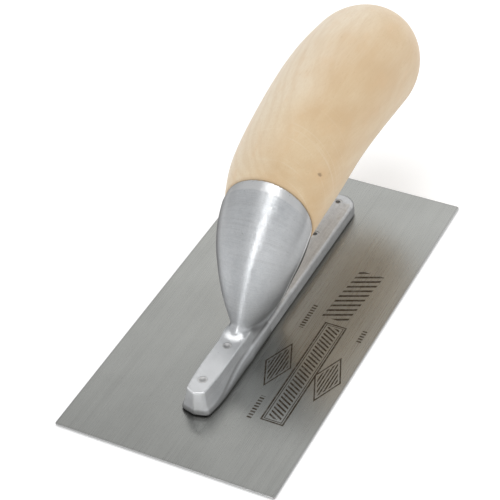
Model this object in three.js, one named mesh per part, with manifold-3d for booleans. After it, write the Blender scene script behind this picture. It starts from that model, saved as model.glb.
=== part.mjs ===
// Steel finishing trowel: a thin steel blade, a one-piece cast mounting riveted along its middle,
// and a curved wooden handle that a steel stud holds in the mounting's cup.
// Millimetres, +Z up. The origin is the middle of the blade's underside, +Y runs from the nose of
// the mounting to the free end of the handle, and +X is to the right of someone looking along +Y.
import * as THREE from "three";
import { mergeVertices } from "three/addons/utils/BufferGeometryUtils.js";
import Module from "manifold-3d";

const wasm = await Module();
wasm.setup();

// ---- driving dimensions ----

// The blade is a flat sheet with square corners.
const BLADE_LENGTH = 152.4;
const BLADE_WIDTH = 76.2;
const BLADE_THICKNESS = 0.8;

// The bar of the mounting lies along the blade. Each level is a height above the blade, the half
// width there, and how far the blunt nose and the round tail stand back from their foot.
const BAR_NOSE = -55.5;
const BAR_TAIL = 61.5;
const TAIL_RADIUS = 6.1;
const BAR_HEIGHT = 5.2;
const BAR_LEVELS = [
  { height: 0, half: 5.6, back: 0.5 },
  { height: 0.5, half: 6.1, back: 0 },
  { height: 3.4, half: 5.7, back: 0.4 },
  { height: 4.4, half: 5.1, back: 0.9 },
  { height: 5.0, half: 4.0, back: 1.7 },
  { height: BAR_HEIGHT, half: 2.8, back: 2.6 },
];

// The front of the bar is a taller rib with a flat ground top. Its rear narrows to an edge inside
// the neck.
const RIB_HEIGHT = 9;
const RIB_SHOULDER = -22;
const RIB_REAR = -4;
const RIB_LEVELS = [
  { height: 0.5, half: 6.0, back: 0.05 },
  { height: 6.0, half: 4.7, back: 0.6 },
  { height: RIB_HEIGHT, half: 3.85, back: 1.0 },
];

// The nose comes to a blunt arris between two short facets.
const NOSE_FACET_LENGTH = 1.4;
const NOSE_FACET_SHARE = 0.8;
const NOSE_LENGTH = 8;

// The neck and cup are one swept body. Each section is an ellipse between a point on the front
// line and a point on the back line, [y, z] in the middle plane, with its half width.
const NECK_SECTIONS = [
  { front: [-28.0, 6.0], back: [9.0, 3.0], half: 4.2 },
  { front: [-24.7, 10.6], back: [4.6, 7.4], half: 5.5 },
  { front: [-23.6, 16.0], back: [2.0, 11.6], half: 8.3 },
  { front: [-22.2, 23.0], back: [1.1, 15.6], half: 10.8 },
  { front: [-19.5, 31.0], back: [0.7, 18.8], half: 12.7 },
  { front: [-15.0, 38.2], back: [0.4, 21.6], half: 14.4 },
  { front: [-8.4, 45.6], back: [0.2, 24.0], half: 15.5 },
  { front: [-0.8, 52.2], back: [0.3, 25.9], half: 15.8 },
  { front: [1.2, 53.2], back: [1.2, 26.7], half: 15.4 },
];

// The cup's socket narrows along an axis that leans back with the neck. Its mouth leaves an even
// wall around the rim, and the end of the handle fits it.
const CUP_LEAN_DEGREES = 46;
const CUP_WALL = 3;
const SOCKET_DEPTH = 11;
const SOCKET_FLOOR_RISE = 6.5;
const SOCKET_FLOOR_HALF_WIDTH = 10;
const WOOD_CLEARANCE = 0.3;

// The handle follows a curved middle line, [y, z]. Its sections are ovals that stand upright at
// the cup, and further back they become round and square to the line. It ends in a dome.
const HANDLE_SECTIONS = [
  { middle: [1.5, 40.0], half: 15.9, rise: 13.8 },
  { middle: [9.0, 44.9], half: 17.5, rise: 15.8 },
  { middle: [20.0, 48.1], half: 18.4, rise: 17.7 },
  { middle: [33.0, 51.2], half: 18.8, rise: 18.8 },
  { middle: [48.0, 53.1], half: 19.5, rise: 19.5 },
  { middle: [62.0, 53.2], half: 19.9, rise: 19.9 },
  { middle: [74.8, 52.1], half: 19.8, rise: 19.8 },
];
const UPRIGHT_SHARE = 0.4;
const DOME_LENGTH = 25;

// A steel stud on the socket's axis runs from the solid neck up into the wood.
const STUD_RADIUS = 3;
const STUD_IN_CASTING = 12;
const STUD_IN_WOOD = 28;
const STUD_POINT = 4;
const STUD_CLEARANCE = 0.15;

// Rivets go up through the blade and the bar. The front ones come out on the rib, and the others
// on the low bar behind the neck.
const FRONT_RIVETS = [-48, -31];
const REAR_RIVETS = [16.4, 36, 55.6];
const RIVET_RADIUS = 1.6;
const RIVET_HEAD_RADIUS = 2.3;
const RIVET_CLEARANCE = 0.06;
const RIVET_TOP_SINK = 0.15;

// ---- smoothness ----

const SECTION_SIDES = 40;
const NECK_STEPS = 20;
const HANDLE_STEPS = 18;
const DOME_STEPS = 8;
const TAIL_STEPS = 12;
const FASTENER_SIDES = 16;
const CUT_PAST = 2;

// ---- materials ----

function finish(color, metalness, roughness) {
  return new THREE.MeshStandardMaterial({ color, metalness, roughness });
}

const bladeSteel = finish(0x9c9c97, 0.9, 0.38);
const castAluminium = finish(0xb9bdc0, 0.9, 0.35);
const paleWood = finish(0xe3c79c, 0, 0.6);
const studSteel = finish(0xa8a8a4, 0.9, 0.4);
const rivetAluminium = finish(0xa7aaad, 0.9, 0.42);

// ---- from geometry to solids and back ----

function solidOf(geometry) {
  const bare = geometry.clone();
  bare.deleteAttribute("normal");
  bare.deleteAttribute("uv");
  const merged = mergeVertices(bare, 1e-4);
  const vertProperties = new Float32Array(merged.attributes.position.array);
  const triVerts = new Uint32Array(merged.index.array);
  return new wasm.Manifold(new wasm.Mesh({ numProp: 3, vertProperties, triVerts }));
}

function meshOf(name, solid, material) {
  const { vertProperties, triVerts } = solid.getMesh();
  const geometry = new THREE.BufferGeometry();
  geometry.setAttribute("position", new THREE.BufferAttribute(vertProperties, 3));
  geometry.setIndex(new THREE.BufferAttribute(triVerts, 1));
  geometry.computeVertexNormals();
  const mesh = new THREE.Mesh(geometry, material);
  mesh.name = name;
  return mesh;
}

// ---- shapes ----

// A point in the middle plane, from [y, z].
function inPlane([y, z]) {
  return new THREE.Vector3(0, y, z);
}

function mean(points) {
  const sum = points.reduce((total, point) => total.add(point), new THREE.Vector3());
  return sum.divideScalar(points.length);
}

// A closed body through rings of equal point count, with flat ends. Each ring runs anticlockwise
// when seen from beyond the last ring.
function loft(rings) {
  const sides = rings[0].length;
  const lastRing = (rings.length - 1) * sides;
  const firstCentre = rings.length * sides;
  const index = [];
  for (let side = 0; side < sides; side += 1) {
    const next = (side + 1) % sides;
    for (let start = 0; start < lastRing; start += sides) {
      index.push(start + side, start + next, start + sides + next);
      index.push(start + side, start + sides + next, start + sides + side);
    }
    index.push(firstCentre, next, side);
    index.push(firstCentre + 1, lastRing + side, lastRing + next);
  }
  const points = [...rings.flat(), mean(rings[0]), mean(rings.at(-1))];
  const geometry = new THREE.BufferGeometry().setFromPoints(points);
  return geometry.setIndex(index);
}

// An ellipse about a centre, with one half axis across the trowel and the other along rise.
function ellipse(centre, rise, halfWidth) {
  return Array.from({ length: SECTION_SIDES }, (_, side) => {
    const turn = (2 * Math.PI * side) / SECTION_SIDES;
    const point = centre.clone().addScaledVector(rise, Math.sin(turn));
    point.x -= halfWidth * Math.cos(turn);
    return point;
  });
}

// A turned body from its [radius, height] profile, which starts and ends on the axis.
function turned(profile, sides) {
  const points = profile.map(([radius, height]) => new THREE.Vector2(radius, height));
  return new THREE.LatheGeometry(points, sides).rotateX(Math.PI / 2);
}

// Moves a body turned about +Z so that it starts at a point and runs along a direction.
function aim(geometry, start, direction) {
  const up = new THREE.Vector3(0, 0, 1);
  geometry.applyQuaternion(new THREE.Quaternion().setFromUnitVectors(up, direction));
  return geometry.translate(start.x, start.y, start.z);
}

function curveThrough(points) {
  return new THREE.CatmullRomCurve3(points, false, "centripetal");
}

// The direction in the middle plane that is square to a direction and points up.
function squareTo(direction) {
  return new THREE.Vector3(1, 0, 0).cross(direction);
}

// ---- places that the pieces share ----

const rim = NECK_SECTIONS.at(-1);
const rimCentre = mean([inPlane(rim.front), inPlane(rim.back)]);
const rimRise = inPlane(rim.front).sub(rimCentre);
const cupLean = THREE.MathUtils.degToRad(CUP_LEAN_DEGREES);
const cupAxis = new THREE.Vector3(0, Math.cos(cupLean), Math.sin(cupLean));
const studStart = rimCentre.clone().addScaledVector(cupAxis, -SOCKET_DEPTH - STUD_IN_CASTING);
const studLength = STUD_IN_CASTING + STUD_IN_WOOD;

// ---- the mounting ----

// The blunt nose and both sides of the bar or rib at one level, from the left side of the nose
// round to the right.
function noseOutline(level) {
  const tip = BAR_NOSE + level.back;
  const corner = level.half * NOSE_FACET_SHARE;
  return [
    [-level.half, tip + NOSE_LENGTH],
    [-corner, tip + NOSE_FACET_LENGTH],
    [0, tip],
    [corner, tip + NOSE_FACET_LENGTH],
    [level.half, tip + NOSE_LENGTH],
  ];
}

function roundTail(level) {
  const centre = BAR_TAIL - TAIL_RADIUS;
  const length = BAR_TAIL - level.back - centre;
  return Array.from({ length: TAIL_STEPS + 1 }, (_, step) => {
    const turn = (Math.PI * step) / TAIL_STEPS;
    return [level.half * Math.cos(turn), centre + length * Math.sin(turn)];
  });
}

function narrowTail(level) {
  return [[level.half, RIB_SHOULDER], [0, RIB_REAR], [-level.half, RIB_SHOULDER]];
}

function levelRing(level, tail) {
  const outline = [...noseOutline(level), ...tail(level)];
  return outline.map(([x, y]) => new THREE.Vector3(x, y, BLADE_THICKNESS + level.height));
}

function bar() {
  return solidOf(loft(BAR_LEVELS.map((level) => levelRing(level, roundTail))));
}

function rib() {
  return solidOf(loft(RIB_LEVELS.map((level) => levelRing(level, narrowTail))));
}

function neck() {
  const front = curveThrough(NECK_SECTIONS.map((section) => inPlane(section.front)));
  const back = curveThrough(NECK_SECTIONS.map((section) => inPlane(section.back)));
  const halfWidth = curveThrough(NECK_SECTIONS.map(({ half }, order) => inPlane([half, order])));
  const rings = Array.from({ length: NECK_STEPS + 1 }, (_, step) => {
    const share = step / NECK_STEPS;
    const top = front.getPoint(share);
    const centre = mean([top, back.getPoint(share)]);
    return ellipse(centre, top.clone().sub(centre), halfWidth.getPoint(share).y);
  });
  return solidOf(loft(rings));
}

// The space inside the cup, or with a clearance the spigot that fills it.
function socketBody(clearance) {
  const floor = rimCentre.clone().addScaledVector(cupAxis, clearance - SOCKET_DEPTH);
  const floorRise = squareTo(cupAxis).multiplyScalar(SOCKET_FLOOR_RISE - clearance);
  const mouthRise = rimRise.clone().setLength(rimRise.length() - CUP_WALL - clearance);
  const mouthHalf = rim.half - CUP_WALL - clearance;
  const past = rimCentre.clone().setY(rimCentre.y + CUT_PAST);
  return solidOf(loft([
    ellipse(floor, floorRise, SOCKET_FLOOR_HALF_WIDTH - clearance),
    ellipse(rimCentre, mouthRise, mouthHalf),
    ellipse(past, mouthRise, mouthHalf),
  ]));
}

function studHole() {
  const profile = [
    [0, -STUD_CLEARANCE],
    [STUD_RADIUS + STUD_CLEARANCE, -STUD_CLEARANCE],
    [STUD_RADIUS + STUD_CLEARANCE, studLength + STUD_CLEARANCE],
    [0, studLength + STUD_CLEARANCE],
  ];
  return solidOf(aim(turned(profile, FASTENER_SIDES), studStart, cupAxis));
}

function mounting() {
  const blank = bar().add(rib()).add(neck());
  const bored = blank.subtract(socketBody(0)).subtract(studHole());
  return rivetPlaces().reduce((solid, place) => solid.subtract(rivetHole(place)), bored);
}

// ---- the rivets ----

function rivetPlaces() {
  const onRib = FRONT_RIVETS.map((y) => ({ y, top: BLADE_THICKNESS + RIB_HEIGHT }));
  const onBar = REAR_RIVETS.map((y) => ({ y, top: BLADE_THICKNESS + BAR_HEIGHT }));
  return [...onRib, ...onBar];
}

// The head fills a cone as deep as the blade is thick, flush with its underside.
function rivet({ y, top }) {
  const end = top - RIVET_TOP_SINK;
  const profile = [
    [0, 0],
    [RIVET_HEAD_RADIUS, 0],
    [RIVET_RADIUS, BLADE_THICKNESS],
    [RIVET_RADIUS, end],
    [0, end],
  ];
  return solidOf(turned(profile, FASTENER_SIDES).translate(0, y, 0));
}

function rivetHole({ y, top }) {
  const head = RIVET_HEAD_RADIUS + RIVET_CLEARANCE;
  const shank = RIVET_RADIUS + RIVET_CLEARANCE;
  const profile = [
    [0, -CUT_PAST],
    [head, -CUT_PAST],
    [head, 0],
    [shank, BLADE_THICKNESS],
    [shank, top + CUT_PAST],
    [0, top + CUT_PAST],
  ];
  return solidOf(turned(profile, FASTENER_SIDES).translate(0, y, 0));
}

// ---- the blade ----

function blade() {
  const sheet = new THREE.BoxGeometry(BLADE_WIDTH, BLADE_LENGTH, BLADE_THICKNESS);
  const solid = solidOf(sheet.translate(0, 0, BLADE_THICKNESS / 2));
  return rivetPlaces().reduce((cut, place) => cut.subtract(rivetHole(place)), solid);
}

// ---- the handle and its stud ----

function handleBody() {
  const line = curveThrough(HANDLE_SECTIONS.map(({ middle }) => inPlane(middle)));
  const size = curveThrough(HANDLE_SECTIONS.map(({ half, rise }) => inPlane([half, rise])));
  const upright = new THREE.Vector3(0, 0, 1);
  const rings = [];
  for (let step = 0; step <= HANDLE_STEPS; step += 1) {
    const share = step / HANDLE_STEPS;
    const { y: half, z: rise } = size.getPoint(share);
    const square = THREE.MathUtils.smoothstep(share, 0, UPRIGHT_SHARE);
    const across = upright.clone().lerp(squareTo(line.getTangent(share)), square);
    rings.push(ellipse(line.getPoint(share), across.setLength(rise), half));
  }
  const outwards = line.getTangent(1);
  const last = HANDLE_SECTIONS.at(-1);
  for (let step = 1; step < DOME_STEPS; step += 1) {
    const turn = (Math.PI / 2) * (step / DOME_STEPS);
    const centre = line.getPoint(1).addScaledVector(outwards, DOME_LENGTH * Math.sin(turn));
    const across = squareTo(outwards).multiplyScalar(last.rise * Math.cos(turn));
    rings.push(ellipse(centre, across, last.half * Math.cos(turn)));
  }
  return solidOf(loft(rings));
}

function handle() {
  return handleBody().add(socketBody(WOOD_CLEARANCE)).subtract(studHole());
}

function handleStud() {
  const profile = [
    [0, 0],
    [STUD_RADIUS, 0],
    [STUD_RADIUS, studLength - STUD_POINT],
    [0, studLength],
  ];
  return solidOf(aim(turned(profile, FASTENER_SIDES), studStart, cupAxis));
}

// ---- the trowel ----

const trowel = new THREE.Group();
trowel.add(meshOf("blade", blade(), bladeSteel));
trowel.add(meshOf("mounting", mounting(), castAluminium));
trowel.add(meshOf("handle", handle(), paleWood));
trowel.add(meshOf("handle_stud", handleStud(), studSteel));
rivetPlaces().forEach((place, order) => {
  trowel.add(meshOf(`rivet_${order + 1}`, rivet(place), rivetAluminium));
});

export default trowel;
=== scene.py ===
"""Steel finishing trowel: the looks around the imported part.

The casting is shaped as a rounded union of fields and drawn as a fine surface net, the handle is a
dense loft, and the blade and rivets are cut and turned solids. Shapes are in millimetres in the
row frame, and become metres when they are made into meshes. The nose points to -Y.
"""

import math

import bpy
import numpy as np
from mathutils import Matrix, Quaternion, Vector


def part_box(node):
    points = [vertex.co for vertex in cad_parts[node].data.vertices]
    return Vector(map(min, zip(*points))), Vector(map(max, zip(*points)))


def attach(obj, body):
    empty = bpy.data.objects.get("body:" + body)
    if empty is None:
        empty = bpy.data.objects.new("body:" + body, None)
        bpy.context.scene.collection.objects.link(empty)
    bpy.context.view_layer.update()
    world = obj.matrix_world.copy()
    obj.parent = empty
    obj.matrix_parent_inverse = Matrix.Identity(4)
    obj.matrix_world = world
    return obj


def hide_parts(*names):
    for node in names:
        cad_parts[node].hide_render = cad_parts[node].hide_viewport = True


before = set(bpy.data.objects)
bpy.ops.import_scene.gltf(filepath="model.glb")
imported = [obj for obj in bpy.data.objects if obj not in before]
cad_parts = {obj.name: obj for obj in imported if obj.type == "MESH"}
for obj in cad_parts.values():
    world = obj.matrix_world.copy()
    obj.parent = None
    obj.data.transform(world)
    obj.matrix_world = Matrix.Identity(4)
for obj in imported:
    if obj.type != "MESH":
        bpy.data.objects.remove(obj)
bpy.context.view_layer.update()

MM = 0.001


def box_mm(node):
    """The low and high corners of a node's box in mm."""
    low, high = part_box(node)
    return np.array(low) / MM, np.array(high) / MM


# ---- places and sizes from the frame ----

BLADE_HIGH = box_mm("blade")[1]
MOUNTING_LOW, MOUNTING_HIGH = box_mm("mounting")
RIVETS = [name for name in sorted(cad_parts) if name.startswith("rivet_")]
# The top of the blade, where the casting stands.
BASE = BLADE_HIGH[2]
# The rivets' upper ends lie this far under the metal around them.
RIVET_TOP_SINK = 0.15
RIB_HEIGHT = box_mm("rivet_1")[1][2] + RIVET_TOP_SINK - BASE
BAR_HEIGHT = box_mm("rivet_5")[1][2] + RIVET_TOP_SINK - BASE
BAR_NOSE = MOUNTING_LOW[1]
BAR_TAIL = MOUNTING_HIGH[1]

# ---- the casting's sizes ----

# The casting's underside is this far above the blade.
UNDERSIDE_GAP = 0.02

# The bar's half width at its foot, and how much the half width loses with each mm of height. Its
# top falls by the crown times the distance from the middle squared.
BAR_HALF = 6.1
BAR_DRAFT = 0.138
BAR_CROWN = 0.018
BAR_TOP_ROUNDING = 1.0
FOOT_LEVEL = 0.5
# The bar's shoulder beside the rib fades out between these places, towards the nose.
SHOULDER_FADE = (-52.0, -30.0)
SHOULDER_LOW = 2.0

# Half width and set-back of the rib at heights above the blade.
RIB_LEVELS = [-2.0, FOOT_LEVEL, 3.0, 6.0, RIB_HEIGHT, 12.0]
RIB_HALF = [6.8, 6.1, 5.05, 4.3, 3.85, 3.4]
RIB_BACK = [-0.2, 0.05, 0.33, 0.6, 1.0, 1.4]
RIB_REAR = -12.0

# The nose: a blunt arris between two short facets, then a slight taper on each side.
FACET_LENGTH = 1.4
FACET_SHARE = 0.8
ARRIS = 0.3
NOSE_LENGTH = 8.0

# Each section of the neck and cup is an ellipse between a point on the front line and one on the
# back line, (y, z) in the middle plane. The last one is where the rim's bevelled band begins.
NECK_FRONT = [(-28.0, 6.0), (-24.7, 10.6), (-23.6, 16.0), (-22.2, 23.0),
              (-19.5, 31.0), (-15.0, 38.2), (-8.4, 45.6), (-1.8, 51.4)]
NECK_BACK = [(9.0, 3.0), (4.6, 7.4), (2.0, 11.6), (1.1, 15.6),
             (0.7, 18.8), (0.4, 21.6), (0.2, 24.0), (0.4, 25.8)]
NECK_HALF = [4.2, 5.5, 8.3, 10.8, 12.7, 14.4, 15.5, 15.85]
RIM_FRONT, RIM_BACK, RIM_HALF = (1.2, 53.2), (1.2, 26.7), 15.4
STEPS_PER_SECTION = 60
NECK_ABOVE_BLADE = 1.0
# The rim's upright plane ends the cup. Between these heights the end moves back from it, so that
# the back of the neck flares onto the bar.
FLARE_LEVELS = (24, 14)
FLARE_LENGTH = 12

# The fillet between the neck and the bar and rib, and how much wider it gets in front and behind.
FILLET = 0.8
FRONT_FILLET, FRONT_FILLET_FADE = 3.9, (-20, -26)
BACK_FILLET, BACK_FILLET_FADE = 3.0, (-1, 6)

# The socket leans with the neck and narrows from its mouth to its floor.
CUP_LEAN = math.radians(46)
CUP_WALL = 3.0
SOCKET_DEPTH = 11.0
SOCKET_FLOOR_RISE = 6.5
SOCKET_FLOOR_HALF = 10.0

# Size of the surface net's cells, and the radii that round the edges and valleys.
VOXEL = 0.4
CRISP = 0.35
SOFT = 1.5
TAPER_SOFT = SOFT / 2
FACET_SOFT = SOFT * 0.7

# Rivet holes: the radius in the casting or blade, the radius of the countersink at z 0, and the
# heights between which the cutters reach.
CASTING_HOLE, CASTING_COUNTERSINK = 1.615, 2.4
BLADE_HOLE, BLADE_COUNTERSINK = 1.64, 2.35
HOLE_REACH = (-2, 20)

# ---- the handle's sizes ----

# The middle line of the handle as (y, z), with its half width and half height at each place. The
# sections start upright, and lean with the line after a share of its length.
HANDLE_MIDDLE = [(1.5, 40.0), (9.0, 44.9), (20.0, 48.1), (33.0, 51.2),
                 (48.0, 53.1), (62.0, 53.2), (74.8, 52.1)]
HANDLE_HALF = [15.9, 17.5, 18.4, 18.8, 19.5, 19.9, 19.8]
HANDLE_RISE = [13.8, 15.8, 17.7, 18.8, 19.5, 19.9, 19.8]
UPRIGHT_SHARE = 0.4
DOME_LENGTH = 25.0
# The wood starts this far from the rim, with a rounded lip, and fits the socket with a clearance.
WOOD_GAP = 0.12
WOOD_LIP = 0.55
WOOD_CLEARANCE = 0.3
LIP_STEPS = 5
DOME_STEPS = 39

# The stud's hole starts this deep under the socket's floor.
STUD_HOLE_RADIUS = 3.15
STUD_IN_CASTING = 12.0
STUD_LENGTH = 40.0

# ---- the blade's and rivets' sizes ----

BLADE_CORNER = 0.9
BLADE_EDGE = 0.14
CORNER_STEPS = 8
RIVET_RADIUS = 1.6
RIVET_HEAD_RADIUS = 2.3


# ---- curves ----


def spline(values, at):
    """A natural cubic spline through values at 0, 1, 2 and so on, read at the given places."""
    values = np.asarray(values, float).reshape(len(values), -1)
    count = len(values)
    matrix = np.eye(count)
    right = np.zeros_like(values)
    for i in range(1, count - 1):
        matrix[i, i - 1:i + 2] = 1, 4, 1
        right[i] = 6 * (values[i - 1] - 2 * values[i] + values[i + 1])
    bend = np.linalg.solve(matrix, right)
    at = np.asarray(at, float)
    first = np.clip(np.floor(at).astype(int), 0, count - 2)
    t = (at - first)[:, None]
    straight = values[first] * (1 - t) + values[first + 1] * t
    return straight + (((1 - t) ** 3 - (1 - t)) * bend[first] + (t ** 3 - t) * bend[first + 1]) / 6


def ease(value, start, end):
    """0 before start, 1 after end, and a smooth step between them."""
    t = np.clip((value - start) / (end - start), 0, 1)
    return t * t * (3 - 2 * t)


def rounded_max(a, b, radius):
    """The larger of two fields, which is what both shapes share, with a rounded edge between them."""
    share = np.clip(0.5 + 0.5 * (a - b) / radius, 0, 1)
    return b + (a - b) * share + radius * share * (1 - share)


def rounded_min(a, b, radius):
    """The smaller of two fields, which is both shapes together, with a rounded valley between them."""
    return -rounded_max(-a, -b, radius)


# ---- meshes ----


def mesh_object(name, points, faces, smooth=True):
    mesh = bpy.data.meshes.new(name)
    mesh.from_pydata((np.asarray(points) * MM).tolist(), [], [list(map(int, f)) for f in faces])
    mesh.validate()
    if smooth:
        mesh.shade_smooth()
    piece = bpy.data.objects.new(name, mesh)
    bpy.context.scene.collection.objects.link(piece)
    return piece


def loft(name, rings, tip=None):
    """A closed body through rings of equal point count. The far end is a flat face, or a tip."""
    rings = [np.asarray(ring) for ring in rings]
    sides = len(rings[0])
    points = np.vstack(rings)
    faces = [list(range(sides))[::-1]]
    for start in range(0, sides * (len(rings) - 1), sides):
        for side in range(sides):
            after = (side + 1) % sides
            faces.append([start + side, start + after, start + sides + after, start + sides + side])
    last = sides * (len(rings) - 1)
    if tip is not None:
        points = np.vstack([points, tip])
        faces += [[last + side, last + (side + 1) % sides, len(points) - 1] for side in range(sides)]
    else:
        faces.append([last + side for side in range(sides)])
    return mesh_object(name, points, faces)


def ellipse(centre, rise, half, sides):
    """A ring about a (y, z) centre in the middle plane: one half axis is (y, z), the other is across."""
    turn = np.linspace(0, 2 * np.pi, sides, endpoint=False)
    return np.stack([
        -half * np.cos(turn),
        centre[0] + rise[0] * np.sin(turn),
        centre[1] + rise[1] * np.sin(turn),
    ], 1)


def turned(name, profile, sides=48, at=(0, 0, 0), along=(0, 0, 1)):
    """A turned solid from (radius, height) pairs, standing at a place along a direction."""
    turn = np.linspace(0, 2 * np.pi, sides, endpoint=False)
    rings = [np.stack([r * np.cos(turn), r * np.sin(turn), np.full(sides, h)], 1) for r, h in profile]
    rotation = Vector((0, 0, 1)).rotation_difference(Vector(along).normalized()).to_matrix()
    rings = [ring @ np.array(rotation).T + np.array(at) for ring in rings]
    return loft(name, rings)


def cut(piece, *cutters, joined=False):
    """Takes the cutters away from a piece, or joins them to it, and removes them."""
    for cutter in cutters:
        boolean = piece.modifiers.new("cut", "BOOLEAN")
        boolean.operation = "UNION" if joined else "DIFFERENCE"
        boolean.solver = "MANIFOLD"
        boolean.object = cutter
    bpy.context.view_layer.update()
    evaluated = piece.evaluated_get(bpy.context.evaluated_depsgraph_get())
    mesh = bpy.data.meshes.new_from_object(evaluated)
    piece.modifiers.clear()
    piece.data = mesh
    for cutter in cutters:
        bpy.data.objects.remove(cutter)
    return piece


def sharpen(piece, degrees):
    piece.data.shade_smooth()
    piece.data.set_sharp_from_angle(angle=math.radians(degrees))
    return piece


# ---- the casting ----


def with_band(values, rim):
    """A smooth line through the neck's values, then a straight run across the rim's band."""
    count = len(values)
    line = spline(values, np.linspace(0, count - 1, STEPS_PER_SECTION * (count - 1) + 1))
    share = np.linspace(0, 1, STEPS_PER_SECTION + 1)[1:, None]
    return np.vstack([line, line[-1] * (1 - share) + np.atleast_1d(rim) * share])


class Neck:
    """The neck and cup as a field, read from tables over the middle plane.

    A table's cell belongs to the section that passes through it. "up" runs from -1 on the back
    line to 1 on the front line, "half" and "length" are the section's half axes, "sweep" is the
    distance along the neck, and "rise_y" and "rise_z" point from the back line to the front line.
    """

    STEP = 0.25
    LOW = np.array([-34.0, -1.0])
    COUNTS = (176, 232)
    # how much a section is passed over for each mm that a place lies past its ends
    BEYOND = 0.3

    def __init__(self):
        front, back = with_band(NECK_FRONT, RIM_FRONT), with_band(NECK_BACK, RIM_BACK)
        half = with_band(NECK_HALF, RIM_HALF)[:, 0]
        middle, rise = (front + back) / 2, (front - back) / 2
        length = np.hypot(*rise.T)
        upward = rise / length[:, None]
        sweep = np.concatenate([[0], np.cumsum(np.hypot(*np.diff(middle, axis=0).T))])
        axes = [low + self.STEP * np.arange(n) for low, n in zip(self.LOW, self.COUNTS)]
        y, z = (grid.ravel()[:, None] for grid in np.meshgrid(*axes, indexing="ij"))
        dy, dz = y - middle[:, 0], z - middle[:, 1]
        beside = dy * upward[:, 1] - dz * upward[:, 0]
        along = dy * upward[:, 0] + dz * upward[:, 1]
        best = (np.abs(beside) + self.BEYOND * np.maximum(np.abs(along) - length, 0)).argmin(1)
        # the nearest section is mixed with its neighbour on the place's other side
        rows = np.arange(len(best))
        here = beside[rows, best]
        other, share = best.copy(), np.zeros(len(best))
        for step in (1, -1):
            near = np.clip(best + step, 0, len(half) - 1)
            there = beside[rows, near]
            between = (here * there < 0) & (share == 0)
            other = np.where(between, near, other)
            share = np.where(between, here / np.where(between, here - there, 1), share)

        def mixed(values):
            return values[best] * (1 - share) + values[other] * share

        up_best, up_other = along[rows, best] / length[best], along[rows, other] / length[other]
        tables = {
            "up": up_best * (1 - share) + up_other * share,
            "half": mixed(half),
            "length": mixed(length),
            "sweep": mixed(sweep),
            "rise_y": mixed(upward[:, 0]),
            "rise_z": mixed(upward[:, 1]),
        }
        self.tables = {name: table.reshape(self.COUNTS) for name, table in tables.items()}
        self.band_start = sweep[-STEPS_PER_SECTION - 1]

    def read(self, name, y, z):
        """A table's value at places in the middle plane, mixed from the four cells around each."""
        table = self.tables[name]
        place_y = np.clip((y - self.LOW[0]) / self.STEP, 0, self.COUNTS[0] - 1.001)
        place_z = np.clip((z - self.LOW[1]) / self.STEP, 0, self.COUNTS[1] - 1.001)
        i, j = place_y.astype(int), place_z.astype(int)
        s, t = place_y - i, place_z - j
        near = table[i, j] * (1 - s) + table[i + 1, j] * s
        far = table[i, j + 1] * (1 - s) + table[i + 1, j + 1] * s
        return near * (1 - t) + far * t

    def field(self, x, y, z):
        """About the distance to the neck's surface, less than 0 inside it."""
        up, half, length = (self.read(name, y, z) for name in ("up", "half", "length"))
        reach = np.sqrt((x / half) ** 2 + up ** 2)
        slope = np.sqrt((x / half ** 2) ** 2 + (up / length) ** 2)
        body = reach * (reach - 1) / np.maximum(slope, 1e-3)
        above_blade = rounded_max(body, BASE + NECK_ABOVE_BLADE - z, SOFT)
        end = RIM_FRONT[0] + FLARE_LENGTH * ease(z, *FLARE_LEVELS)
        return rounded_max(above_blade, y - end, CRISP)


neck = Neck()


def with_nose(x, y, reach, tip, side):
    """The sides of the bar or rib, closed at the front by the taper and facets of the nose."""
    run = (y - tip - FACET_LENGTH) / (NOSE_LENGTH - FACET_LENGTH)
    taper = np.abs(x) - reach * (FACET_SHARE + (1 - FACET_SHARE) * run)
    facet = tip + FACET_LENGTH * (np.sqrt(x * x + ARRIS ** 2) - ARRIS) / (FACET_SHARE * reach) - y
    return rounded_max(rounded_max(side, taper, TAPER_SOFT), facet, FACET_SOFT)


def bar_field(x, y, z):
    height = z - BASE
    past_tail = np.maximum(y - (BAR_TAIL - BAR_HALF), 0)
    across = np.sqrt(x * x + past_tail * past_tail)
    lost = BAR_DRAFT * (height - FOOT_LEVEL)
    sides = with_nose(x, y, BAR_HALF - lost, BAR_NOSE + lost, across - BAR_HALF + lost)
    level = SHOULDER_LOW + (BAR_HEIGHT - SHOULDER_LOW) * ease(y, *SHOULDER_FADE)
    shape = rounded_max(sides, height - level + BAR_CROWN * across ** 2, BAR_TOP_ROUNDING)
    return rounded_max(shape, UNDERSIDE_GAP - height, SOFT)


def rib_field(x, y, z):
    height = z - BASE
    reach = np.interp(height, RIB_LEVELS, RIB_HALF)
    tip = BAR_NOSE + np.interp(height, RIB_LEVELS, RIB_BACK)
    sides = with_nose(x, y, reach, tip, np.abs(x) - reach)
    shape = rounded_max(sides, height - RIB_HEIGHT, CRISP)
    shape = rounded_max(shape, UNDERSIDE_GAP - height, SOFT)
    return rounded_max(shape, y - RIB_REAR, CRISP)


def body_field(x, y, z):
    return rounded_min(bar_field(x, y, z), rib_field(x, y, z), CRISP)


def casting_field(x, y, z):
    fillet = FILLET + FRONT_FILLET * ease(y, *FRONT_FILLET_FADE) + BACK_FILLET * ease(y, *BACK_FILLET_FADE)
    joined = rounded_min(body_field(x, y, z), neck.field(x, y, z), fillet)
    return rounded_max(joined, BASE + UNDERSIDE_GAP - z, CRISP)


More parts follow.
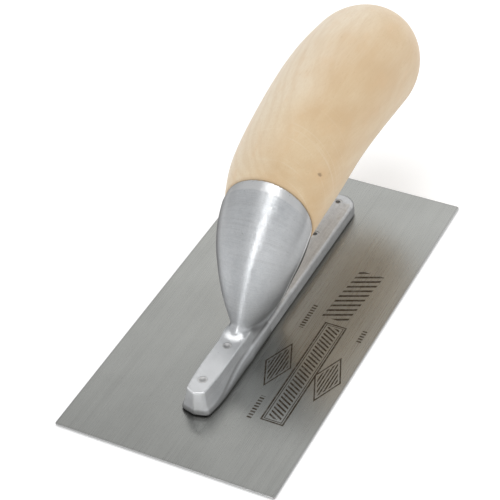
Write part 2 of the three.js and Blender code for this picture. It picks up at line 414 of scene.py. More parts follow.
def surface_net(field, low, high, step):
    """Quads on the zero surface of a field: one point in each cell that the surface crosses."""
    counts = [math.ceil((b - a) / step) + 1 for a, b in zip(low, high)]
    axes = [a + step * np.arange(n) for a, n in zip(low, counts)]
    values = field(*np.meshgrid(*axes, indexing="ij")).astype(np.float32)
    # each cell's point is the mean of the places where its edges cross the surface
    sums = np.zeros([n - 1 for n in counts] + [3], np.float32)
    hits = np.zeros(sums.shape[:3], np.int8)
    near, far = slice(None, -1), slice(1, None)
    for axis in range(3):
        others = [a for a in range(3) if a != axis]
        for one in (0, 1):
            for two in (0, 1):
                pick = [None] * 3
                pick[others[0]], pick[others[1]] = (near, far)[one], (near, far)[two]
                pick[axis] = near
                a = values[tuple(pick)]
                pick[axis] = far
                b = values[tuple(pick)]
                crossed = (a < 0) != (b < 0)
                sums[..., axis] += np.where(crossed, a / np.where(crossed, a - b, 1), 0)
                sums[..., others[0]] += crossed * one
                sums[..., others[1]] += crossed * two
                hits += crossed
    used = hits > 0
    number = np.full(used.shape, -1)
    number[used] = np.arange(used.sum())
    points = np.array(low) + step * (np.argwhere(used) + sums[used] / hits[used][:, None])
    # each crossed edge gives a quad between the four cells around it
    faces = []
    for axis in range(3):
        one, two = (a for a in range(3) if a != axis)
        pick = [slice(None)] * 3
        pick[one] = pick[two] = slice(1, -1)
        pick[axis] = near
        a = values[tuple(pick)] < 0
        pick[axis] = far
        b = values[tuple(pick)] < 0
        for inward in (False, True):
            edges = np.argwhere((a != b) & (a != inward))
            edges[:, [one, two]] += 1
            quad = []
            for back_one, back_two in ((1, 1), (0, 1), (0, 0), (1, 0)):
                cell = edges.copy()
                cell[:, one] -= back_one
                cell[:, two] -= back_two
                quad.append(number[tuple(cell.T)])
            quad = np.stack(quad, 1)
            faces.append(quad[:, ::-1] if inward != (axis == 1) else quad)
    return points, np.vstack(faces)


def slope_of(field, points):
    """How fast the field grows along each axis."""
    nudge = 0.02
    slope = []
    for shift in np.eye(3) * nudge:
        slope.append(field(*(points + shift).T) - field(*(points - shift).T))
    return np.stack(slope, 1) / (2 * nudge)


def on_surface(field, points):
    """Points moved along the field's slope onto its zero surface, by at most half a cell."""
    slope = slope_of(field, points)
    size = np.maximum((slope ** 2).sum(1), 1e-2)
    move = -slope * (field(*points.T) / size)[:, None]
    half_cells = np.linalg.norm(move, axis=1) / (VOXEL / 2)
    return points + move / np.maximum(half_cells, 1)[:, None]


def relaxed(points, faces):
    """Points moved half way to the middle of their neighbours."""
    total, count = np.zeros_like(points), np.zeros(len(points))
    for side in range(4):
        a, b = faces[:, side], faces[:, (side + 1) % 4]
        for start, end in ((a, b), (b, a)):
            count += np.bincount(start, minlength=len(points))
            for axis in range(3):
                total[:, axis] += np.bincount(start, points[end, axis], len(points))
    return (points + total / np.maximum(count, 1)[:, None]) / 2


def socket(name, clearance, sides=96):
    """The space inside the cup, or with a clearance the end of the handle that fills it."""
    axis = np.array([math.cos(CUP_LEAN), math.sin(CUP_LEAN)])
    square = np.array([-axis[1], axis[0]])
    centre = (np.array(RIM_FRONT) + np.array(RIM_BACK)) / 2
    rise = (RIM_FRONT[1] - RIM_BACK[1]) / 2 - CUP_WALL - clearance
    floor = centre - axis * (SOCKET_DEPTH - clearance)
    half = RIM_HALF - CUP_WALL - clearance
    return loft(name, [
        ellipse(floor, square * (SOCKET_FLOOR_RISE - clearance), SOCKET_FLOOR_HALF - clearance, sides),
        ellipse(centre, (0, rise), half, sides),
        ellipse(centre + (2, 0), (0, rise), half, sides),
    ])


def stud_hole(name):
    """The stud's hole, along the middle of the socket."""
    axis = (0, math.cos(CUP_LEAN), math.sin(CUP_LEAN))
    centre = (np.array(RIM_FRONT) + np.array(RIM_BACK)) / 2
    start = np.array([0, *centre]) - np.array(axis) * (SOCKET_DEPTH + STUD_IN_CASTING)
    profile = [(STUD_HOLE_RADIUS, 0), (STUD_HOLE_RADIUS, STUD_LENGTH)]
    return turned(name, profile, at=start, along=axis)


def rivet_place(name):
    """A rivet's y, and the z of its upper end."""
    low, high = box_mm(name)
    return (low[1] + high[1]) / 2, high[2]


def rivet_hole(name, radius, countersink):
    y, _ = rivet_place(name)
    bottom, top = HOLE_REACH
    profile = [(countersink, bottom), (countersink, 0), (radius, BASE), (radius, top)]
    return turned(name + "_hole", profile, at=(0, y, 0))


def keep_values(piece, name, values):
    """Keeps one number or vector for each point of a piece, for its material to read."""
    kind = "FLOAT" if values.ndim == 1 else "FLOAT_VECTOR"
    attribute = piece.data.attributes.new(name, kind, "POINT")
    field = "value" if values.ndim == 1 else "vector"
    attribute.data.foreach_set(field, values.astype(np.float32).ravel())


def keep_finish(piece, points):
    """What the casting's material needs to know about each point."""
    x, y, z = points.T
    normal = slope_of(casting_field, points)
    normal /= np.linalg.norm(normal, axis=1)[:, None]
    from_neck, from_body = neck.field(x, y, z), body_field(x, y, z)
    above_sides = ease(z - BASE, BAR_HEIGHT - 1.5, BAR_HEIGHT)
    on_neck = ease(from_body - from_neck, -0.6, 0.6) * above_sides
    sweep = neck.read("sweep", y, z)
    # the casting is sanded round the neck and along the bar
    across_neck = np.stack([np.zeros(len(y)), neck.read("rise_z", y, z), -neck.read("rise_y", y, z)], 1)
    around = np.cross(normal, across_neck)
    around *= np.sign(around[:, :1] + 1e-6)
    around /= np.maximum(np.linalg.norm(around, axis=1), 1e-3)[:, None]
    lengthwise = np.array([0.0, 1.0, 0.0]) - normal * normal[:, 1:2]
    sanding = around * on_neck[:, None] + lengthwise * (1 - on_neck)[:, None]
    keep_values(piece, "gloss", np.cross(normal, sanding))
    keep_values(piece, "on_neck", on_neck)
    keep_values(piece, "sweep", sweep)
    keep_values(piece, "front", neck.read("up", y, z) * neck.read("length", y, z))
    # how far towards the cup's sides each point lies, for painted shade there
    keep_values(piece, "painted_side_shade", ease(np.abs(x) / neck.read("half", y, z), 0.4, 1.0))
    # the valleys between the neck and the bar, and between the rib and the bar, where the material paints
    # shade
    keep_values(piece, "valley", (1 - ease(np.maximum(from_neck, from_body), 0.0, 1.1)) * above_sides)
    beside_rib = np.maximum(bar_field(x, y, z), rib_field(x, y, z))
    keep_values(piece, "crease", 1 - ease(beside_rib, 0.05, 0.9))
    band = ease(sweep, neck.band_start - 0.15, neck.band_start + 0.15)
    keep_values(piece, "band", band * on_neck)
    # the rib's top is ground flat
    top = BASE + RIB_HEIGHT
    ground = ease(z, top - 0.08, top - 0.02) * (1 - ease(z, top + 0.02, top + 1.2))
    keep_values(piece, "ground", ground * (1 - on_neck))


def make_mounting():
    # the net reaches a little past the casting on every side
    low = (-MOUNTING_HIGH[0] - 1.1, BAR_NOSE - 1, BASE - 0.7)
    high = (MOUNTING_HIGH[0] + 1.1, BAR_TAIL + 1, MOUNTING_HIGH[2] + 1)
    points, faces = surface_net(casting_field, low, high, VOXEL)
    points = on_surface(casting_field, on_surface(casting_field, points))
    for _ in range(4):
        points = on_surface(casting_field, relaxed(points, faces))
    points = on_surface(casting_field, points)
    piece = mesh_object("mounting_casting", points, faces)
    keep_finish(piece, points)
    cutters = [socket("socket", 0), stud_hole("stud_hole")]
    cutters += [rivet_hole(name, CASTING_HOLE, CASTING_COUNTERSINK) for name in RIVETS]
    cut(piece, *cutters)
    return sharpen(piece, 50)


# ---- the handle ----


def make_handle(sides=160, steps_per_section=24):
    last = len(HANDLE_HALF) - 1
    at = np.linspace(0, last, steps_per_section * last + 1)
    middle = spline(HANDLE_MIDDLE, at)
    half, rise = spline(HANDLE_HALF, at)[:, 0], spline(HANDLE_RISE, at)[:, 0]
    along = np.gradient(middle, axis=0)
    lean = np.arctan2(along[:, 1], along[:, 0]) * ease(at / last, 0, UPRIGHT_SHARE)
    upward = np.stack([-np.sin(lean), np.cos(lean)], 1)
    rings = []
    # the rounded lip beside the rim
    start = middle[0] + (RIM_FRONT[0] + WOOD_GAP - middle[0][0], 0)
    for turn in np.linspace(0, np.pi / 2, LIP_STEPS + 1)[:-1]:
        inset = WOOD_LIP * (1 - math.sin(turn))
        centre = start + (WOOD_LIP * (1 - math.cos(turn)), 0)
        rings.append(ellipse(centre, upward[0] * (rise[0] - inset), half[0] - inset, sides))
    for i in range(len(at)):
        if middle[i][0] > start[0] + WOOD_LIP:
            rings.append(ellipse(middle[i], upward[i] * rise[i], half[i], sides))
    # the domed end
    outward = np.array([math.cos(lean[-1]), math.sin(lean[-1])])
    for turn in np.linspace(0, np.pi / 2, DOME_STEPS + 1)[1:-1]:
        centre = middle[-1] + outward * DOME_LENGTH * math.sin(turn)
        size = math.cos(turn)
        rings.append(ellipse(centre, upward[-1] * rise[-1] * size, half[-1] * size, sides))
    tip = np.array([0, *(middle[-1] + outward * DOME_LENGTH)])
    piece = loft("handle_wood", rings, tip)
    cut(piece, socket("spigot", WOOD_CLEARANCE), joined=True)
    cut(piece, stud_hole("stud_hole"))
    return sharpen(piece, 50)


# ---- the blade ----


def make_blade():
    """A sheet with rounded corners and slightly broken edges."""
    rings = []
    for inset, height in ((BLADE_EDGE, 0), (0, BLADE_EDGE), (0, BASE - BLADE_EDGE), (BLADE_EDGE, BASE)):
        ring = []
        for quarter, (sx, sy) in enumerate(((1, 1), (-1, 1), (-1, -1), (1, -1))):
            for step in range(CORNER_STEPS + 1):
                turn = (quarter + step / CORNER_STEPS) * np.pi / 2
                x = sx * (BLADE_HIGH[0] - BLADE_CORNER) + (BLADE_CORNER - inset) * math.cos(turn)
                y = sy * (BLADE_HIGH[1] - BLADE_CORNER) + (BLADE_CORNER - inset) * math.sin(turn)
                ring.append((x, y, height))
        rings.append(ring)
    piece = loft("blade_sheet", rings)
    cut(piece, *[rivet_hole(name, BLADE_HOLE, BLADE_COUNTERSINK) for name in RIVETS])
    return sharpen(piece, 30)


# ---- the rivets ----


def make_rivet(name):
    """A turned rivet: a cone head in the blade, a straight shank, and a set upper end."""
    y, top = rivet_place(name)
    on_rib = top > BASE + BAR_HEIGHT + 1
    top += RIVET_TOP_SINK
    head = [(RIVET_HEAD_RADIUS, 0), (RIVET_HEAD_RADIUS, 0.03), (RIVET_RADIUS + 0.01, BASE)]
    if on_rib:
        end = [(RIVET_RADIUS, top - 0.08), (1.56, top - 0.03), (1.35, top - 0.02),
               (0.9, top - 0.08), (0.5, top - 0.18), (0.15, top - 0.22)]
    else:
        end = [(RIVET_RADIUS, top - 0.2), (1.5, top - 0.1), (0.95, top - 0.06),
               (0.8, top - 0.12), (0.6, top - 0.6), (0.2, top - 0.75)]
    piece = turned(name + "_set", head + end, sides=64, at=(0, y, 0))
    points = np.empty(3 * len(piece.data.vertices), np.float32)
    piece.data.vertices.foreach_get("co", points)
    from_axis = np.hypot(points[0::3], points[1::3] - y * MM) / MM
    # the middle of the set end, which the material darkens as painted shade in the dimple
    keep_values(piece, "middle", 1 - ease(from_axis, 0.6, 1.7))
    return sharpen(piece, 35)


# ---- materials ----


class Shader:
    """A material's nodes, made by short calls. An input is a plain value or another node's output."""

    def __init__(self, name):
        self.material = bpy.data.materials.new(name)
        self.material.use_nodes = True
        self.tree = self.material.node_tree
        self.tree.nodes.clear()

    def node(self, kind, inputs=None, **settings):
        node = self.tree.nodes.new("ShaderNode" + kind)
        for key, value in settings.items():
            setattr(node, key, value)
        for key, value in (inputs or {}).items():
            if isinstance(value, bpy.types.NodeSocket):
                self.tree.links.new(value, node.inputs[key])
            else:
                node.inputs[key].default_value = value
        return node

    def math(self, operation, *values):
        return self.node("Math", dict(enumerate(values)), operation=operation).outputs[0]

    def vector(self, operation, *values):
        return self.node("VectorMath", dict(enumerate(values)), operation=operation).outputs[0]

    def combine(self, x, y, z):
        return self.node("CombineXYZ", {0: x, 1: y, 2: z}).outputs[0]

    def place(self):
        """The object's own coordinates in mm."""
        metres = self.node("TexCoord").outputs["Object"]
        inputs = {"Vector": metres, "Scale": 1 / MM}
        return self.node("VectorMath", inputs, operation="SCALE").outputs[0]

    def parts(self, vector):
        parts = self.node("SeparateXYZ", {0: vector}).outputs
        return parts[0], parts[1], parts[2]

    def value(self, name):
        return self.node("Attribute", attribute_name=name).outputs["Fac"]

    def direction(self, name):
        return self.node("Attribute", attribute_name=name).outputs["Vector"]

    def surface_normal(self):
        return self.node("TexCoord").outputs["Normal"]

    def rotated(self, vector, angle):
        inputs = {"Vector": vector, "Angle": angle}
        return self.node("VectorRotate", inputs, rotation_type="Z_AXIS").outputs[0]

    def box_distance(self, x, y, centre_x, centre_y, half_x, half_y):
        """How far outside a rectangle a place is, less than 0 inside it."""
        across = self.math("SUBTRACT", self.math("ABSOLUTE", self.math("SUBTRACT", x, centre_x)), half_x)
        along = self.math("SUBTRACT", self.math("ABSOLUTE", self.math("SUBTRACT", y, centre_y)), half_y)
        return self.math("MAXIMUM", across, along)

    def filled_box(self, x, y, centre_x, centre_y, half_x, half_y):
        """1 inside a rectangle, 0 outside it."""
        soft = 0.05
        return self.fade(self.box_distance(x, y, centre_x, centre_y, half_x, half_y), soft, -soft)

    def stroke(self, distance, half_width):
        """A line where a distance is 0."""
        soft = 0.04
        return self.fade(self.math("ABSOLUTE", distance), half_width + soft, half_width - soft)

    def stripes(self, value, pitch, share):
        """Lines a pitch apart, each filling a share of it."""
        soft = 0.03
        phase = self.math("FRACT", self.math("MULTIPLY", value, 1 / pitch))
        centred = self.math("ABSOLUTE", self.math("SUBTRACT", phase, 0.5))
        return self.fade(centred, share / 2 + soft, share / 2 - soft)

    def noise(self, vector, scale=1.0, detail=2.0, roughness=0.5, distortion=0.0):
        inputs = {"Vector": vector, "Scale": scale, "Detail": detail, "Roughness": roughness,
                  "Distortion": distortion}
        return self.node("TexNoise", inputs).outputs["Fac"]

    def stretch(self, vector, x, y, z):
        return self.vector("MULTIPLY", vector, (x, y, z))

    def fade(self, value, start, end, low=0.0, high=1.0):
        """A smooth step from low at start to high at end. The end may be the smaller one."""
        inputs = {"Value": value, "From Min": start, "From Max": end, "To Min": low, "To Max": high}
        return self.node("MapRange", inputs, interpolation_type="SMOOTHSTEP").outputs[0]

    def mix(self, share, a, b):
        return self.node("Mix", {0: share, 6: a, 7: b}, data_type="RGBA").outputs[2]

    def tint(self, colour, mask, share, paint):
        """A colour with a share of paint over it where the mask is 1."""
        return self.mix(self.math("MULTIPLY", mask, share), colour, paint)

    def bump(self, height, strength, distance_mm, normal=None):
        inputs = {"Height": height, "Strength": strength, "Distance": distance_mm * MM}
        if normal:
            inputs["Normal"] = normal
        return self.node("Bump", inputs).outputs[0]

    def finish(self, **inputs):
        """The surface, from the inputs of a Principled BSDF in small letters."""
        surface = self.node("BsdfPrincipled", {key.replace("_", " ").title().replace("Ior", "IOR"): value
                                               for key, value in inputs.items()})
        self.node("OutputMaterial", {"Surface": surface.outputs[0]})
        return self.material


def grey(value, warm=0.0):
    """A linear grey, a little redder and less blue where it's warm."""
    return (value * (1 + warm), value, value * (1 - warm), 1)


def steel(value):
    """A linear grey with the slight green and yellow of bare steel."""
    return (value * 0.99, value, value * 0.955, 1)


WOOD_CREAM = (0.66, 0.51, 0.325, 1)
WOOD_TAN = (0.61, 0.435, 0.25, 1)
WOOD_PALE = (0.75, 0.66, 0.52, 1)
WOOD_ORANGE = (0.66, 0.44, 0.24, 1)
WOOD_LATE = (0.56, 0.39, 0.22, 1)
WOOD_PORE = (0.40, 0.26, 0.14, 1)
WOOD_KNOT = (0.16, 0.09, 0.045, 1)
KNOT_PLACE = (14.6, 9.4, 54.6)
ETCHED = (0.052, 0.038, 0.024, 1)


def cast_aluminium():
    s = Shader("cast_aluminium")
    vector = s.place()
    x, y, z = s.parts(vector)
    on_neck, sweep = s.value("on_neck"), s.value("sweep")
    ground, valley, band = s.value("ground"), s.value("valley"), s.value("band")
    # sanding lines run round the cup and along the bar, fine ones over coarse ones
    round_cup = s.noise(s.combine(s.math("MULTIPLY", x, 0.14), s.math("MULTIPLY", sweep, 6.0),
                                  s.math("MULTIPLY", y, 0.05)), 1.0, 5.0, 0.75)
    coarse = s.noise(s.combine(s.math("MULTIPLY", x, 0.06), s.math("MULTIPLY", sweep, 1.6),
                               s.math("MULTIPLY", y, 0.03)), 1.0, 2.0, 0.5)
    off_neck = s.math("SUBTRACT", 1.0, on_neck)
    along_bar = s.noise(s.stretch(vector, 5.0, 0.12, 5.0), 1.0, 4.0, 0.7)
    lines = s.math("ADD", s.math("MULTIPLY", round_cup, on_neck), s.math("MULTIPLY", along_bar, off_neck))
    waves = s.noise(vector, 0.22, 3.0, 0.55)
    cloud = s.noise(vector, 0.09, 3.0, 0.55)
    mottle = s.noise(vector, 0.75, 3.0, 0.6)
    grains = s.noise(vector, 2.4, 4.0, 0.65)
    pits = s.fade(s.noise(vector, 1.1, 4.0, 0.65), 0.64, 0.72)
    nicks = s.noise(s.stretch(s.rotated(vector, 0.7), 0.5, 3.0, 1.2), 1.0, 3.0, 0.6)
    nicks = s.fade(nicks, 0.68, 0.76)
    colour = s.mix(s.fade(cloud, 0.3, 0.7), grey(0.53, -0.035), grey(0.61, -0.025))
    # the bar behind the neck is darker: partly its as-cast finish, partly a painted reflection of the
    # handle that hangs over it
    as_cast_and_reflection = s.math("MULTIPLY", off_neck, s.fade(y, -26.0, -8.0))
    colour = s.tint(colour, as_cast_and_reflection, 0.7, grey(0.41, 0.005))
    colour = s.tint(colour, s.fade(lines, 0.35, 0.65), 0.40, grey(0.74, -0.01))
    colour = s.tint(colour, s.fade(coarse, 0.50, 0.70), 0.20, grey(0.42))
    colour = s.tint(colour, s.fade(grains, 0.45, 0.65), 0.22, grey(0.40))
    colour = s.tint(colour, s.fade(mottle, 0.42, 0.66), 0.24, grey(0.70, -0.01))
    colour = s.tint(colour, band, 0.6, grey(0.78))
    # painted shade: the cup is darkened towards its sides
    raised = s.math("MULTIPLY", on_neck, s.fade(z, BASE + BAR_HEIGHT + 1.0, BASE + BAR_HEIGHT + 7.0))
    painted_side_shade = s.math("MULTIPLY", s.value("painted_side_shade"), raised)
    colour = s.tint(colour, painted_side_shade, 0.55, grey(0.28, 0.01))
    # the back of the neck is left as cast, and a painted highlight runs as a bright line where the sanding
    # stops, over a slight bumped ridge
    front = s.value("front")
    back = s.math("MULTIPLY", s.fade(front, 0.1, -0.4), raised)
    colour = s.tint(colour, back, 0.75, grey(0.36, 0.01))
    parting_ridge_highlight = s.math("MULTIPLY", s.fade(s.math("ABSOLUTE", front), 0.7, 0.3), raised)
    colour = s.tint(colour, parting_ridge_highlight, 0.8, grey(0.92))
    # bright where it was ground
    nose = s.fade(y, BAR_NOSE + 9.0, BAR_NOSE + 2.0)
    colour = s.tint(colour, nose, 0.65, grey(0.82, -0.01))
    colour = s.tint(colour, ground, 0.85, grey(0.68, -0.01))
    colour = s.tint(colour, nicks, 0.35, grey(0.85))
    # painted shade in the valleys by the neck and in the crease beside the rib
    colour = s.tint(colour, valley, s.fade(y, -30.0, -22.0, 0.1, 0.75), grey(0.17, 0.02))
    colour = s.tint(colour, s.value("crease"), 0.75, grey(0.16, 0.02))
    # painted shade along the foot, where the bar's underside rounds in
    foot = s.fade(z, BASE + 0.9, BASE + 0.1)
    colour = s.tint(colour, foot, 0.7, grey(0.10, 0.05))
    colour = s.tint(colour, pits, 0.45, grey(0.30))
    rough = s.math("ADD", s.fade(lines, 0.3, 0.7, 0.29, 0.37), s.math("MULTIPLY", valley, 0.35))
    rough = s.math("ADD", rough, s.math("MULTIPLY", s.fade(grains, 0.4, 0.7), 0.06))
    rough = s.math("ADD", rough, s.math("MULTIPLY", back, 0.14))
    normal = s.bump(waves, 0.3, 0.25)
    normal = s.bump(mottle, 0.6, 0.08, normal)
    normal = s.bump(parting_ridge_highlight, 0.8, 0.12, normal)
    normal = s.bump(lines, 0.3, 0.03, normal)
    normal = s.bump(grains, 0.35, 0.045, normal)
    normal = s.bump(nicks, -0.4, 0.03, normal)
    normal = s.bump(pits, -0.8, 0.08, normal)
    return s.finish(base_color=colour, metallic=0.85, roughness=rough, anisotropic=0.95,
                    specular_tint=grey(0.15), tangent=s.direction("gloss"), normal=normal)


def blade_steel():
    s = Shader("blade_steel")
    vector = s.place()
    x, y, _ = s.parts(vector)
    # grinding lines along the blade, broad streaks of them, and slow clouds
    lines = s.noise(s.stretch(vector, 6.0, 0.03, 6.0), 1.0, 5.0, 0.75)
    streaks = s.noise(s.stretch(vector, 0.35, 0.012, 1.0), 1.0, 3.0, 0.6)
    cloud = s.noise(vector, 0.035, 3.0, 0.55)
    specks = s.fade(s.noise(vector, 1.3, 3.0, 0.6), 0.68, 0.78)
    scratches = s.noise(s.stretch(s.rotated(vector, 0.9), 3.0, 0.06, 3.0), 1.0, 2.0, 0.6)
    scratches = s.fade(scratches, 0.70, 0.80)
    colour = s.mix(s.fade(cloud, 0.3, 0.7), steel(0.292), steel(0.335))
    colour = s.tint(colour, s.fade(lines, 0.3, 0.7), 0.35, steel(0.41))
    colour = s.tint(colour, s.fade(streaks, 0.45, 0.75), 0.35, steel(0.27))
    colour = s.tint(colour, specks, 0.25, grey(0.24, 0.03))
    colour = s.tint(colour, scratches, 0.20, grey(0.50))
    # the edges are worn a little brighter, with a thin darker line just inside
    inward = s.math("MINIMUM", s.math("SUBTRACT", BLADE_HIGH[0], s.math("ABSOLUTE", x)),
                    s.math("SUBTRACT", BLADE_HIGH[1], s.math("ABSOLUTE", y)))
    colour = s.mix(s.fade(inward, 1.1, 0.3, 0.0, 0.35), colour, grey(0.24, 0.02))
    colour = s.mix(s.fade(inward, 0.22, 0.10, 0.0, 0.7), colour, grey(0.55))
    worn = s.fade(s.noise(vector, 0.9, 3.0, 0.6), 0.25, 0.6, 0.65, 1.0)
    etched = s.math("MULTIPLY", blade_etching(s, x, y), worn)
    colour = s.mix(etched, colour, ETCHED)
    rough = s.fade(lines, 0.3, 0.7, 0.265, 0.30)
    rough = s.math("ADD", rough, s.math("MULTIPLY", etched, 0.3))
    normal = s.bump(lines, 0.25, 0.02)
    normal = s.bump(etched, -0.6, 0.03, normal)
    return s.finish(base_color=colour, metallic=1.0, roughness=rough, anisotropic=0.7,
                    tangent=s.combine(1.0, 0.0, 0.0), normal=normal)


def blade_etching(s, x, y):
    """A plain etched ornament on the right half of the blade: 0 for bare steel, 1 for a line."""
    middle_x, middle_y = 23.6, -23.5
    half_x, half_y = 3.7, 24.4
    marks = []
    # a double frame with slanted hatching inside
    for inset, half_line in ((0, 0.28), (0.75, 0.14)):
        rim = s.box_distance(x, y, middle_x, middle_y, half_x - inset, half_y - inset)
        marks.append(s.stroke(rim, half_line))
    slant = s.math("ADD", s.math("MULTIPLY", x, 0.55), y)
    inside = s.filled_box(x, y, middle_x, middle_y, half_x - 1.5, half_y - 1.5)
    marks.append(s.math("MULTIPLY", inside, s.stripes(slant, 1.7, 0.46)))
    # a hatched lozenge on each side of the frame
    for centre_x in (14.2, 31.6):
        off_x = s.math("MULTIPLY", s.math("ABSOLUTE", s.math("SUBTRACT", x, centre_x)), 2.4)
        reach = s.math("ADD", off_x, s.math("ABSOLUTE", s.math("SUBTRACT", y, middle_y)))
        marks.append(s.stroke(s.math("SUBTRACT", reach, 10.4), 0.62))
        marks.append(s.math("MULTIPLY", s.fade(reach, 8.6, 8.3), s.stripes(x, 0.95, 0.5)))
    # a row of slanted bars, and three rows of small dashes
    leaning = s.math("ADD", x, s.math("MULTIPLY", y, -0.10))
    sloping = s.math("ADD", y, s.math("MULTIPLY", x, -0.45))
    bars = s.filled_box(leaning, y, 21.4, 16.5, 4.4, 13.2)
    marks.append(s.math("MULTIPLY", bars, s.stripes(sloping, 2.6, 0.40)))
    for row_x, row_y, half_length in ((16.2, -44.0, 5.5), (13.4, 1.5, 6.0), (33.6, -1.0, 3.2)):
        row = s.filled_box(x, y, row_x, row_y, 0.8, half_length)
        marks.append(s.math("MULTIPLY", row, s.stripes(y, 1.3, 0.52)))
    total = marks[0]
    for mark in marks[1:]:
        total = s.math("MAXIMUM", total, mark)
    # only the blade's upper face is etched
    facing_up = s.parts(s.surface_normal())[2]
    return s.math("MULTIPLY", total, s.fade(facing_up, 0.8, 0.9))


def rivet_aluminium():
    s = Shader("rivet_aluminium")
    vector = s.place()
    spots = s.noise(vector, 1.5, 3.0, 0.6)
    colour = s.mix(s.fade(spots, 0.3, 0.7), grey(0.52, 0.01), grey(0.66))
    # painted shade in the dimple at the middle of the set end
    colour = s.tint(colour, s.value("middle"), 0.8, grey(0.24))
    normal = s.bump(s.noise(vector, 4.0, 2.0), 0.2, 0.04)
    return s.finish(base_color=colour, metallic=1.0, roughness=s.fade(spots, 0.2, 0.8, 0.36, 0.48),
                    normal=normal)


def stud_steel():
    s = Shader("stud_steel")
    spots = s.noise(s.place(), 0.8, 3.0, 0.6)
    colour = s.mix(s.fade(spots, 0.3, 0.7), grey(0.36, 0.02), grey(0.46))
    return s.finish(base_color=colour, metallic=1.0, roughness=s.fade(spots, 0.2, 0.8, 0.35, 0.45),
                    normal=s.bump(spots, 0.2, 0.05))


def handle_wood():
    s = Shader("handle_wood")
    vector = s.place()
    x, y, z = s.parts(vector)
    # growth layers round a pith far to one side, drawn out along the grain
    drift = s.noise(s.stretch(vector, 0.06, 0.012, 0.06), 1.0, 3.0, 0.5)
    depth = s.math("ADD", s.math("MULTIPLY", x, 0.55), s.math("MULTIPLY", z, 0.62))
    depth = s.math("ADD", depth, s.math("MULTIPLY", drift, 14.0))
    depth = s.math("ADD", depth, s.math("MULTIPLY", y, 0.045))
    layers = s.fade(s.math("SINE", s.math("MULTIPLY", depth, 2.1)), -0.4, 1.0)
    fibres = s.noise(s.stretch(vector, 2.4, 0.09, 2.4), 1.0, 4.0, 0.65)
    pores = s.fade(s.noise(s.stretch(vector, 4.5, 0.35, 4.5), 1.0, 2.0, 0.5), 0.64, 0.76)
    patches = s.noise(s.stretch(vector, 0.075, 0.028, 0.075), 1.0, 3.0, 0.6, 0.4)
    blotches = s.fade(s.noise(s.stretch(vector, 0.2, 0.07, 0.2), 1.0, 3.0, 0.6), 0.5, 0.75)
    # paler towards -X and the top: partly sapwood, partly painted light falling from that side
    wander = s.noise(vector, 0.03, 2.0, 0.5)
    sapwood_and_light = s.math("ADD", s.math("MULTIPLY", x, -0.055), s.math("MULTIPLY", z, 0.022))
    sapwood_and_light = s.fade(s.math("ADD", sapwood_and_light, s.math("MULTIPLY", wander, 1.6)), 1.6, 2.8)
    colour = s.mix(s.fade(patches, 0.32, 0.68), WOOD_CREAM, WOOD_TAN)
    colour = s.tint(colour, sapwood_and_light, 0.75, WOOD_PALE)
    colour = s.tint(colour, blotches, 0.30, WOOD_ORANGE)
    colour = s.tint(colour, layers, 0.16, WOOD_LATE)
    colour = s.tint(colour, s.fade(fibres, 0.35, 0.7), 0.22, WOOD_LATE)
    colour = s.tint(colour, pores, 0.35, WOOD_PORE)
    # faint sanding rings across the grain, near the cup
    across_grain = s.math("ADD", y, s.math("MULTIPLY", z, -0.15))
    rings = s.noise(s.combine(s.math("MULTIPLY", x, 0.05), s.math("MULTIPLY", across_grain, 1.7),
                              s.math("MULTIPLY", z, 0.03)), 1.0, 2.0, 0.5)
    rings = s.math("MULTIPLY", s.fade(rings, 0.60, 0.70), s.fade(y, 34.0, 16.0))
    colour = s.tint(colour, rings, 0.18, WOOD_PALE)
    # one pin knot
    from_knot = s.node("VectorMath", {0: vector, 1: KNOT_PLACE}, operation="DISTANCE").outputs["Value"]
    ragged = s.math("MULTIPLY", s.noise(vector, 1.6, 2.0, 0.5), 1.6)
    knot = s.fade(s.math("ADD", from_knot, ragged), 1.75, 1.0)
    halo = s.fade(from_knot, 4.5, 0.8)
    colour = s.tint(colour, halo, 0.3, WOOD_ORANGE)
    colour = s.tint(colour, knot, 0.6, WOOD_KNOT)
    # painted shade: a thin darker line where the wood meets the cup
    seam_shade = s.fade(y, RIM_FRONT[0] + 0.75, RIM_FRONT[0] + 0.15)
    colour = s.tint(colour, seam_shade, 0.25, WOOD_PORE)
    rough = s.fade(fibres, 0.2, 0.8, 0.46, 0.6)
    normal = s.bump(s.noise(vector, 0.12, 2.0, 0.5), 0.25, 0.5)
    normal = s.bump(fibres, 0.22, 0.06, normal)
    normal = s.bump(pores, -0.3, 0.05, normal)
    normal = s.bump(knot, -0.5, 0.15, normal)
    return s.finish(base_color=colour, roughness=rough, specular_ior_level=0.35, sheen_weight=0.25,
                    sheen_roughness=0.5, normal=normal)


def floor_paint():
    s = Shader("floor_paint")
    colour = s.mix(s.noise(s.place(), 0.01, 2.0), grey(0.79), grey(0.81))
    return s.finish(base_color=colour, roughness=0.9, emission_color=grey(1.0), emission_strength=0.29)


def dress(piece, material):
    piece.data.materials.clear()
    piece.data.materials.append(material)


# ---- the pieces in place ----

aluminium = cast_aluminium()
rivet_metal = rivet_aluminium()

mounting = make_mounting()
dress(mounting, aluminium)
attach(mounting, "root")
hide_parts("mounting")

handle = make_handle()
dress(handle, handle_wood())
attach(handle, "root")
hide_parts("handle")

blade = make_blade()
dress(blade, blade_steel())
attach(blade, "root")
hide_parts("blade")

for rivet_name in RIVETS:
    rivet = make_rivet(rivet_name)
    dress(rivet, rivet_metal)
    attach(rivet, "root")
    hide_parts(rivet_name)

dress(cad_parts["handle_stud"], stud_steel())

# ---- floor, light and camera ----


FLOOR_HALF = 6000
FLOOR_LEVEL = -0.2
LIGHT_AIM = Vector((0, 0.01, 0.03))
SKY = (0.60, 0.605, 0.61, 1)

CAMERA_PLACE = (0.1990, -0.3877, 0.3863)
CAMERA_RIGHT = (0.8964, 0.4418, -0.0359)
CAMERA_DOWN = (0.2569, -0.5839, -0.7701)
CAMERA_AHEAD = (-0.3612, 0.6811, -0.6369)
CAMERA_LENS = 125.33


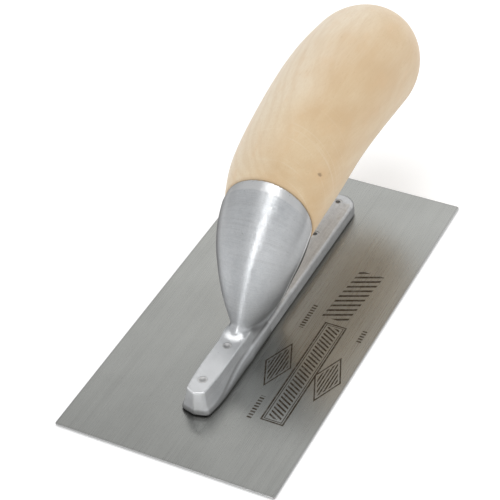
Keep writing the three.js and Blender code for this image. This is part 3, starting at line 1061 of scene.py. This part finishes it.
def make_floor():
    sides = ((-1, -1), (1, -1), (1, 1), (-1, 1))
    corners = [(x * FLOOR_HALF, y * FLOOR_HALF, FLOOR_LEVEL) for x, y in sides]
    floor = mesh_object("floor", corners, [[0, 1, 2, 3]], smooth=False)
    dress(floor, floor_paint())


def softbox(name, azimuth, elevation, distance, size, radiance, roll=0):
    """A rectangular light that looks at the trowel.

    Azimuth 0 stands in front of the nose and 90 on the +X side. Angles are in degrees, and the
    distance and size in metres.
    """
    width, height = size
    data = bpy.data.lights.new(name, "AREA")
    data.shape = "RECTANGLE"
    data.size, data.size_y = width, height
    data.energy = radiance * math.pi * width * height
    light = bpy.data.objects.new(name, data)
    a, e = math.radians(azimuth), math.radians(elevation)
    toward = Vector((math.sin(a) * math.cos(e), -math.cos(a) * math.cos(e), math.sin(e)))
    light.location = LIGHT_AIM + toward * distance
    light.rotation_mode = "QUATERNION"
    rolled = Quaternion((0, 0, 1), math.radians(roll))
    light.rotation_quaternion = (-toward).to_track_quat("-Z", "Y") @ rolled
    bpy.context.scene.collection.objects.link(light)


def make_world():
    world = bpy.data.worlds.new("studio")
    world.use_nodes = True
    background = world.node_tree.nodes["Background"]
    background.inputs["Color"].default_value = SKY
    background.inputs["Strength"].default_value = 1.0
    bpy.context.scene.world = world


def make_camera():
    data = bpy.data.cameras.new("camera")
    data.lens = CAMERA_LENS
    data.clip_start, data.clip_end = 0.01, 50
    camera = bpy.data.objects.new("camera", data)
    axes = (Vector(CAMERA_RIGHT), -Vector(CAMERA_DOWN), -Vector(CAMERA_AHEAD))
    turn = Matrix(axes).transposed().to_4x4()
    camera.matrix_world = Matrix.Translation(CAMERA_PLACE) @ turn
    bpy.context.scene.collection.objects.link(camera)
    bpy.context.scene.camera = camera


make_floor()
make_world()
softbox("back_softbox", azimuth=180, elevation=26, distance=1.4, size=(2.2, 1.35), radiance=0.71)
softbox("top_softbox", azimuth=-120, elevation=82, distance=1.5, size=(0.8, 0.8), radiance=3.6)
softbox("right_softbox", azimuth=52, elevation=26, distance=1.4, size=(2.2, 1.0), radiance=0.46)
softbox("key_strip", azimuth=-4, elevation=33, distance=0.9, size=(0.033, 1.04), radiance=10.0, roll=8)
make_camera()
bpy.context.scene.view_settings.view_transform = "Standard"
